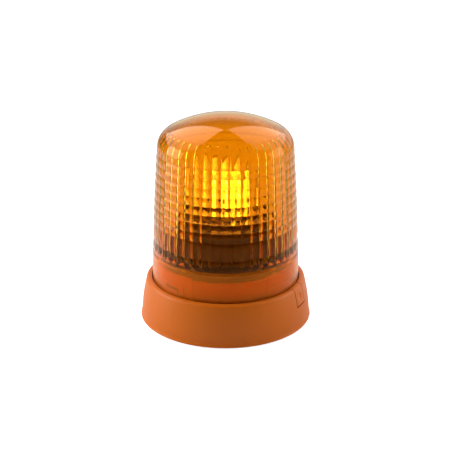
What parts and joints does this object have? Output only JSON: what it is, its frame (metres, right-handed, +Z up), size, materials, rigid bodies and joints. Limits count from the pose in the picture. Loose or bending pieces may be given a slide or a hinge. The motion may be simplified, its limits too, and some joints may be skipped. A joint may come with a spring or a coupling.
{
  "type": "rotating beacon",
  "caption": "Rotating warning beacon: ribbed amber bayonet lens over a geared, motor-driven parabolic reflector and halogen lamp, on a round orange base.",
  "frame": {"origin": "centre of the rubber mat's underside, where the beacon stands on its mounting surface", "axes": "+Z up along the lens and reflector axis, +X through the lens lock tab"},
  "size_m": [0.1659, 0.1658, 0.198],
  "materials": {
    "orange_plastic": "fine moulded texture",
    "amber_plastic": "clear amber moulding",
    "black_rubber": "matt",
    "black_plastic": "satin",
    "grey_plastic": "satin",
    "white_plastic": "satin",
    "blue_plastic": "sleeve",
    "board_laminate": "solder mask",
    "ferrite": "matt",
    "brass": "turned",
    "bronze": "sintered",
    "plated_steel": "zinc plated",
    "mirror_coat": "vacuum metallised",
    "quartz_glass": "clear quartz",
    "lit_filament": "glowing tungsten"
  },
  "bodies": {
    "base": {"base_housing": "orange_plastic", "bayonet_ring": "orange_plastic", "base_mat": "black_rubber", "mounting_inserts": "brass", "cable_grommet": "black_rubber", "lock_tab_pin": "plated_steel", "chassis_plate": "black_plastic", "chassis_screws": "plated_steel", "lamp_post": "plated_steel", "lamp_post_screws": "plated_steel", "thrust_washer": "white_plastic", "retaining_ring": "plated_steel", "lamp_holder": "black_plastic", "lamp_clip": "plated_steel", "lamp_clip_screws": "plated_steel", "lamp_base": "plated_steel", "lamp_glass": "quartz_glass", "lamp_filament": "lit_filament", "lamp_connector": "black_plastic", "motor_can": "plated_steel", "motor_end_cap": "black_plastic", "motor_screws": "plated_steel", "control_board": "board_laminate", "board_screws": "plated_steel", "suppression_capacitor": "blue_plastic", "suppression_choke": "ferrite", "terminal_block": "grey_plastic", "terminal_clamp_screws": "plated_steel", "terminal_fixing_screws": "plated_steel"},
    "rotor": {"reflector_carrier": "black_plastic", "drive_gear": "white_plastic", "drive_gear_screws": "plated_steel", "lower_bush": "bronze", "upper_bush": "bronze", "reflector": "mirror_coat", "reflector_screws": "plated_steel"},
    "pinion": {"motor_pinion": "brass", "motor_shaft": "plated_steel"},
    "seal": {"lens_seal": "black_rubber"},
    "lens": {"lens_dome": "amber_plastic"},
    "lock_tab": {"lock_tab": "orange_plastic"}
  },
  "joints": [
    {"name": "reflector_spin", "type": "hinge", "parent": "base", "child": "rotor", "pos_m": [0, 0, 0.047], "axis": [0, 0, 1], "continuous": true},
    {"name": "pinion_spin", "type": "hinge", "parent": "base", "child": "pinion", "pos_m": [-0.03334, 0.01925, 0.048], "axis": [0, 0, 1], "continuous": true},
    {"name": "lens_turn", "type": "hinge", "parent": "base", "child": "seal", "pos_m": [0, 0, 0.033], "axis": [0, 0, 1], "range_deg": [-24, 0]},
    {"name": "lens_lift", "type": "slide", "parent": "seal", "child": "lens", "axis": [0, 0, 1], "range_m": [0, 0.14]},
    {"name": "lock_tab_swing", "type": "hinge", "parent": "base", "child": "lock_tab", "pos_m": [0.07521, 0, 0.0246], "axis": [0, 1, 0], "range_deg": [0, 10], "stiffness_Nm_per_rad": 0.03}
  ],
  "couplings": [
    {"joint": "pinion_spin", "follows": "reflector_spin", "ratio": -6}
  ]
}
